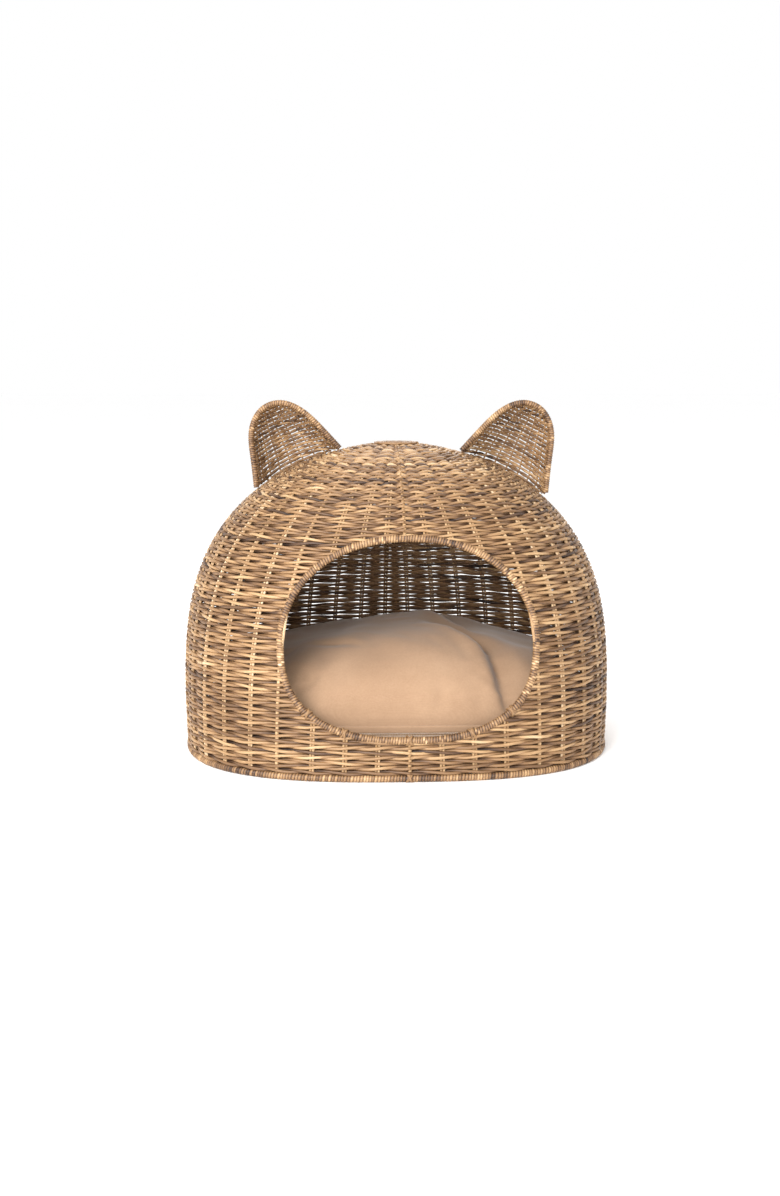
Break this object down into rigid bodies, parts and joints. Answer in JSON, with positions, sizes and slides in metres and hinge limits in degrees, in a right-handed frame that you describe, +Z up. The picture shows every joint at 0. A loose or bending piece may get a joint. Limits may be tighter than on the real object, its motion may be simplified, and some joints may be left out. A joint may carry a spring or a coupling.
{
  "type": "wicker pet bed basket",
  "caption": "Woven cane pet cave with cat ears, an oval doorway, a bound base ring and a zipped box cushion inside.",
  "frame": {"origin": "middle of the footprint, on the surface the basket stands on", "axes": "+Z up, the doorway faces -Y, +X to the right as seen from the doorway's side"},
  "size_m": [0.5453, 0.4547, 0.4374],
  "materials": {
    "cane_weave": "satin round cane, honey to brown",
    "cane_weave_inner": "satin round cane, duller inside",
    "cane_floor": "satin round cane",
    "cane_binding": "satin flat strip cane",
    "rattan_rod": "satin rattan rod",
    "stake_cane": "satin round cane",
    "canvas": "matte beige canvas",
    "liner_film": "glossy dark brown waterproof film",
    "wadding": "white polyester wadding",
    "zip_tape": "white woven zip tape",
    "zip_coil": "white nylon coil",
    "zip_metal": "nickel plated zinc"
  },
  "bodies": {
    "basket": {"base_lashing": "cane_binding", "base_ring": "rattan_rod", "base_ring_binding": "cane_binding", "crown_button": "cane_weave", "dome_stakes_01": "stake_cane", "dome_stakes_02": "stake_cane", "dome_stakes_03": "stake_cane", "dome_stakes_04": "stake_cane", "dome_stakes_05": "stake_cane", "dome_stakes_06": "stake_cane", "dome_stakes_07": "stake_cane", "dome_stakes_08": "stake_cane", "dome_stakes_09": "stake_cane", "dome_stakes_10": "stake_cane", "dome_stakes_11": "stake_cane", "dome_stakes_12": "stake_cane", "dome_stakes_13": "stake_cane", "dome_stakes_14": "stake_cane", "dome_stakes_15": "stake_cane", "dome_stakes_16": "stake_cane", "dome_stakes_17": "stake_cane", "dome_weave_inner": "cane_weave_inner", "dome_weave_outer": "cane_weave", "door_side_lashings": "cane_binding", "doorway_binding": "cane_binding", "doorway_hoop": "rattan_rod", "floor_sticks": "rattan_rod", "floor_weave": "cane_floor", "front_post": "rattan_rod", "left_ear_binding": "cane_binding", "left_ear_rim": "rattan_rod", "left_ear_weave": "cane_weave", "right_ear_binding": "cane_binding", "right_ear_rim": "rattan_rod", "right_ear_weave": "cane_weave", "side_post_left": "rattan_rod", "side_post_right": "rattan_rod", "sill_lashing": "cane_binding", "stakes_above_door": "stake_cane", "stakes_below_door": "stake_cane", "top_rib": "rattan_rod"},
    "cushion": {"cushion_cover": "canvas", "cushion_liner": "liner_film", "cushion_filling": "wadding", "zip_tape_upper": "zip_tape", "zip_tape_lower": "zip_tape", "zip_coil_upper": "zip_coil", "zip_coil_lower": "zip_coil", "zip_end_stops": "zip_metal"},
    "zip_slider_body": {"zip_slider": "zip_metal"},
    "zip_pull_body": {"zip_pull": "zip_metal"}
  },
  "joints": [
    {"name": "cushion_lift", "type": "slide", "parent": "basket", "child": "cushion", "axis": [0, 0, 1], "range_m": [0, 0.06]},
    {"name": "zip_travel", "type": "slide", "parent": "cushion", "child": "zip_slider_body", "axis": [1, 0, 0], "range_m": [0, 0.212]},
    {"name": "zip_pull_swing", "type": "hinge", "parent": "zip_slider_body", "child": "zip_pull_body", "pos_m": [-0.106, -0.1855, 0.046], "axis": [1, 0, 0], "range_deg": [-165, 0]}
  ]
}
